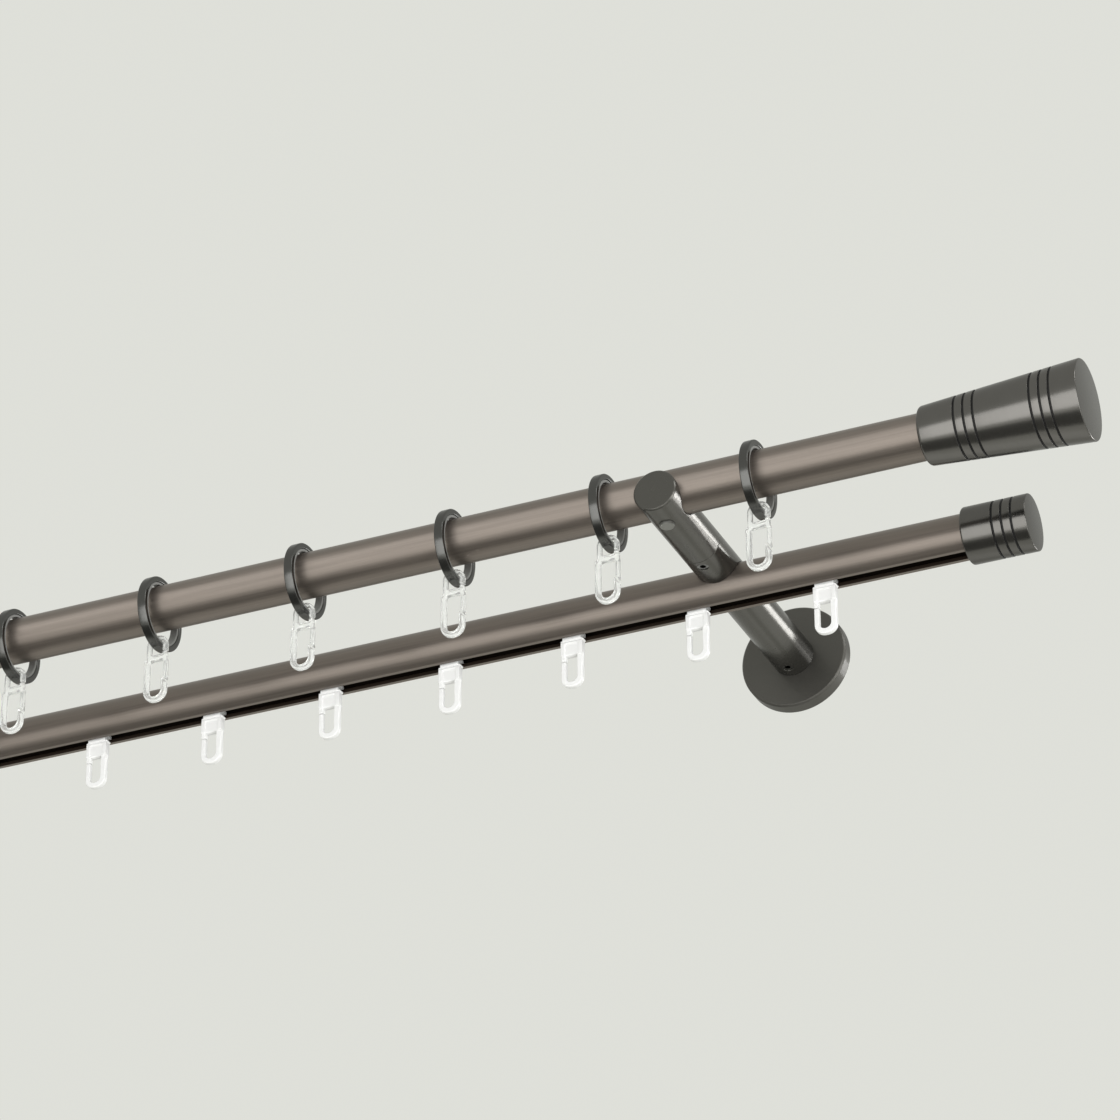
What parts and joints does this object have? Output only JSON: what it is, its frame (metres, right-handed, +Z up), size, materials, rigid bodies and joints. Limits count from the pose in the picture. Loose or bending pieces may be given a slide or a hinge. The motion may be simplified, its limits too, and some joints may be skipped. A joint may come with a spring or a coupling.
{
  "type": "curtain rod",
  "caption": "Double curtain rod on wall brackets: a front tube with sliding rings and clear hooks, a slotted rear track with gliders, and grooved finials and end caps.",
  "frame": {"origin": "on the wall plane, midway between the two brackets, at the height of their arms' axes", "axes": "+X along the rods to the right as seen from the room, +Y into the wall, +Z up"},
  "size_m": [0.9188, 0.1673, 0.0652],
  "materials": {
    "rod_lacquer": "satin brown-grey metallic lacquer",
    "bracket_lacquer": "semi-gloss graphite lacquer",
    "turned_metal": "turned gunmetal with fine tool lines",
    "screw_steel": "blackened",
    "screw_grey": "dull zinc",
    "ring_metal": "satin gunmetal",
    "liner_plastic": "satin grey",
    "hook_plastic": "clear, glossy",
    "glider_plastic": "translucent white"
  },
  "bodies": {
    "rods_and_brackets": {"front_rod": "rod_lacquer", "rear_track": "rod_lacquer", "grub_screws": "screw_steel", "clamp_screws": "screw_grey", "track_screws": "screw_steel", "left_rose": "bracket_lacquer", "left_arm": "bracket_lacquer", "left_head": "bracket_lacquer", "left_finial": "turned_metal", "left_end_cap": "turned_metal", "right_rose": "bracket_lacquer", "right_arm": "bracket_lacquer", "right_head": "bracket_lacquer", "right_finial": "turned_metal", "right_end_cap": "turned_metal"},
    "ring_01_body": {"ring_01": "ring_metal", "ring_liner_01": "liner_plastic"},
    "hook_01_body": {"ring_hook_01": "hook_plastic"},
    "ring_02_body": {"ring_02": "ring_metal", "ring_liner_02": "liner_plastic"},
    "hook_02_body": {"ring_hook_02": "hook_plastic"},
    "ring_03_body": {"ring_03": "ring_metal", "ring_liner_03": "liner_plastic"},
    "hook_03_body": {"ring_hook_03": "hook_plastic"},
    "ring_04_body": {"ring_04": "ring_metal", "ring_liner_04": "liner_plastic"},
    "hook_04_body": {"ring_hook_04": "hook_plastic"},
    "ring_05_body": {"ring_05": "ring_metal", "ring_liner_05": "liner_plastic"},
    "hook_05_body": {"ring_hook_05": "hook_plastic"},
    "ring_06_body": {"ring_06": "ring_metal", "ring_liner_06": "liner_plastic"},
    "hook_06_body": {"ring_hook_06": "hook_plastic"},
    "ring_07_body": {"ring_07": "ring_metal", "ring_liner_07": "liner_plastic"},
    "hook_07_body": {"ring_hook_07": "hook_plastic"},
    "ring_08_body": {"ring_08": "ring_metal", "ring_liner_08": "liner_plastic"},
    "hook_08_body": {"ring_hook_08": "hook_plastic"},
    "ring_09_body": {"ring_09": "ring_metal", "ring_liner_09": "liner_plastic"},
    "hook_09_body": {"ring_hook_09": "hook_plastic"},
    "ring_10_body": {"ring_10": "ring_metal", "ring_liner_10": "liner_plastic"},
    "hook_10_body": {"ring_hook_10": "hook_plastic"},
    "glider_01_body": {"glider_01": "glider_plastic"},
    "glider_02_body": {"glider_02": "glider_plastic"},
    "glider_03_body": {"glider_03": "glider_plastic"},
    "glider_04_body": {"glider_04": "glider_plastic"},
    "glider_05_body": {"glider_05": "glider_plastic"},
    "glider_06_body": {"glider_06": "glider_plastic"},
    "glider_07_body": {"glider_07": "glider_plastic"},
    "glider_08_body": {"glider_08": "glider_plastic"},
    "glider_09_body": {"glider_09": "glider_plastic"},
    "glider_10_body": {"glider_10": "glider_plastic"},
    "glider_11_body": {"glider_11": "glider_plastic"},
    "glider_12_body": {"glider_12": "glider_plastic"}
  },
  "joints": [
    {"name": "ring_01_slide", "type": "slide", "parent": "rods_and_brackets", "child": "ring_01_body", "axis": [1, 0, 0], "range_m": [-0.0285, 0.0711]},
    {"name": "hook_01_swing", "type": "hinge", "parent": "ring_01_body", "child": "hook_01_body", "pos_m": [0.316, -0.15, 0.0022], "axis": [1, 0, 0], "range_deg": [-45, 45]},
    {"name": "ring_02_slide", "type": "slide", "parent": "rods_and_brackets", "child": "ring_02_body", "axis": [1, 0, 0], "range_m": [-0.0297, 0.0141]},
    {"name": "hook_02_swing", "type": "hinge", "parent": "ring_02_body", "child": "hook_02_body", "pos_m": [0.2484, -0.15, 0.0022], "axis": [1, 0, 0], "range_deg": [-45, 45]},
    {"name": "ring_03_slide", "type": "slide", "parent": "rods_and_brackets", "child": "ring_03_body", "axis": [1, 0, 0], "range_m": [-0.0297, 0.0297]},
    {"name": "hook_03_swing", "type": "hinge", "parent": "ring_03_body", "child": "hook_03_body", "pos_m": [0.17743, -0.15, 0.0022], "axis": [1, 0, 0], "range_deg": [-45, 45]},
    {"name": "ring_04_slide", "type": "slide", "parent": "rods_and_brackets", "child": "ring_04_body", "axis": [1, 0, 0], "range_m": [-0.0297, 0.0297]},
    {"name": "hook_04_swing", "type": "hinge", "parent": "ring_04_body", "child": "hook_04_body", "pos_m": [0.10646, -0.15, 0.0022], "axis": [1, 0, 0], "range_deg": [-45, 45]},
    {"name": "ring_05_slide", "type": "slide", "parent": "rods_and_brackets", "child": "ring_05_body", "axis": [1, 0, 0], "range_m": [-0.0297, 0.0297]},
    {"name": "hook_05_swing", "type": "hinge", "parent": "ring_05_body", "child": "hook_05_body", "pos_m": [0.03549, -0.15, 0.0022], "axis": [1, 0, 0], "range_deg": [-45, 45]},
    {"name": "ring_06_slide", "type": "slide", "parent": "rods_and_brackets", "child": "ring_06_body", "axis": [1, 0, 0], "range_m": [-0.0297, 0.0297]},
    {"name": "hook_06_swing", "type": "hinge", "parent": "ring_06_body", "child": "hook_06_body", "pos_m": [-0.03549, -0.15, 0.0022], "axis": [1, 0, 0], "range_deg": [-45, 45]},
    {"name": "ring_07_slide", "type": "slide", "parent": "rods_and_brackets", "child": "ring_07_body", "axis": [1, 0, 0], "range_m": [-0.0297, 0.0297]},
    {"name": "hook_07_swing", "type": "hinge", "parent": "ring_07_body", "child": "hook_07_body", "pos_m": [-0.10646, -0.15, 0.0022], "axis": [1, 0, 0], "range_deg": [-45, 45]},
    {"name": "ring_08_slide", "type": "slide", "parent": "rods_and_brackets", "child": "ring_08_body", "axis": [1, 0, 0], "range_m": [-0.0297, 0.0297]},
    {"name": "hook_08_swing", "type": "hinge", "parent": "ring_08_body", "child": "hook_08_body", "pos_m": [-0.17743, -0.15, 0.0022], "axis": [1, 0, 0], "range_deg": [-45, 45]},
    {"name": "ring_09_slide", "type": "slide", "parent": "rods_and_brackets", "child": "ring_09_body", "axis": [1, 0, 0], "range_m": [-0.0141, 0.0297]},
    {"name": "hook_09_swing", "type": "hinge", "parent": "ring_09_body", "child": "hook_09_body", "pos_m": [-0.2484, -0.15, 0.0022], "axis": [1, 0, 0], "range_deg": [-45, 45]},
    {"name": "ring_10_slide", "type": "slide", "parent": "rods_and_brackets", "child": "ring_10_body", "axis": [1, 0, 0], "range_m": [-0.0711, 0.0285]},
    {"name": "hook_10_swing", "type": "hinge", "parent": "ring_10_body", "child": "hook_10_body", "pos_m": [-0.316, -0.15, 0.0022], "axis": [1, 0, 0], "range_deg": [-45, 45]},
    {"name": "glider_01_slide", "type": "slide", "parent": "rods_and_brackets", "child": "glider_01_body", "axis": [1, 0, 0], "range_m": [-0.0234, 0.0584]},
    {"name": "glider_02_slide", "type": "slide", "parent": "rods_and_brackets", "child": "glider_02_body", "axis": [1, 0, 0], "range_m": [-0.0234, 0.0234]},
    {"name": "glider_03_slide", "type": "slide", "parent": "rods_and_brackets", "child": "glider_03_body", "axis": [1, 0, 0], "range_m": [-0.0234, 0.0234]},
    {"name": "glider_04_slide", "type": "slide", "parent": "rods_and_brackets", "child": "glider_04_body", "axis": [1, 0, 0], "range_m": [-0.0234, 0.0234]},
    {"name": "glider_05_slide", "type": "slide", "parent": "rods_and_brackets", "child": "glider_05_body", "axis": [1, 0, 0], "range_m": [-0.0234, 0.0234]},
    {"name": "glider_06_slide", "type": "slide", "parent": "rods_and_brackets", "child": "glider_06_body", "axis": [1, 0, 0], "range_m": [-0.0234, 0.0234]},
    {"name": "glider_07_slide", "type": "slide", "parent": "rods_and_brackets", "child": "glider_07_body", "axis": [1, 0, 0], "range_m": [-0.0234, 0.0234]},
    {"name": "glider_08_slide", "type": "slide", "parent": "rods_and_brackets", "child": "glider_08_body", "axis": [1, 0, 0], "range_m": [-0.0234, 0.0234]},
    {"name": "glider_09_slide", "type": "slide", "parent": "rods_and_brackets", "child": "glider_09_body", "axis": [1, 0, 0], "range_m": [-0.0234, 0.0234]},
    {"name": "glider_10_slide", "type": "slide", "parent": "rods_and_brackets", "child": "glider_10_body", "axis": [1, 0, 0], "range_m": [-0.0234, 0.0234]},
    {"name": "glider_11_slide", "type": "slide", "parent": "rods_and_brackets", "child": "glider_11_body", "axis": [1, 0, 0], "range_m": [-0.0234, 0.0234]},
    {"name": "glider_12_slide", "type": "slide", "parent": "rods_and_brackets", "child": "glider_12_body", "axis": [1, 0, 0], "range_m": [-0.0584, 0.0234]}
  ]
}
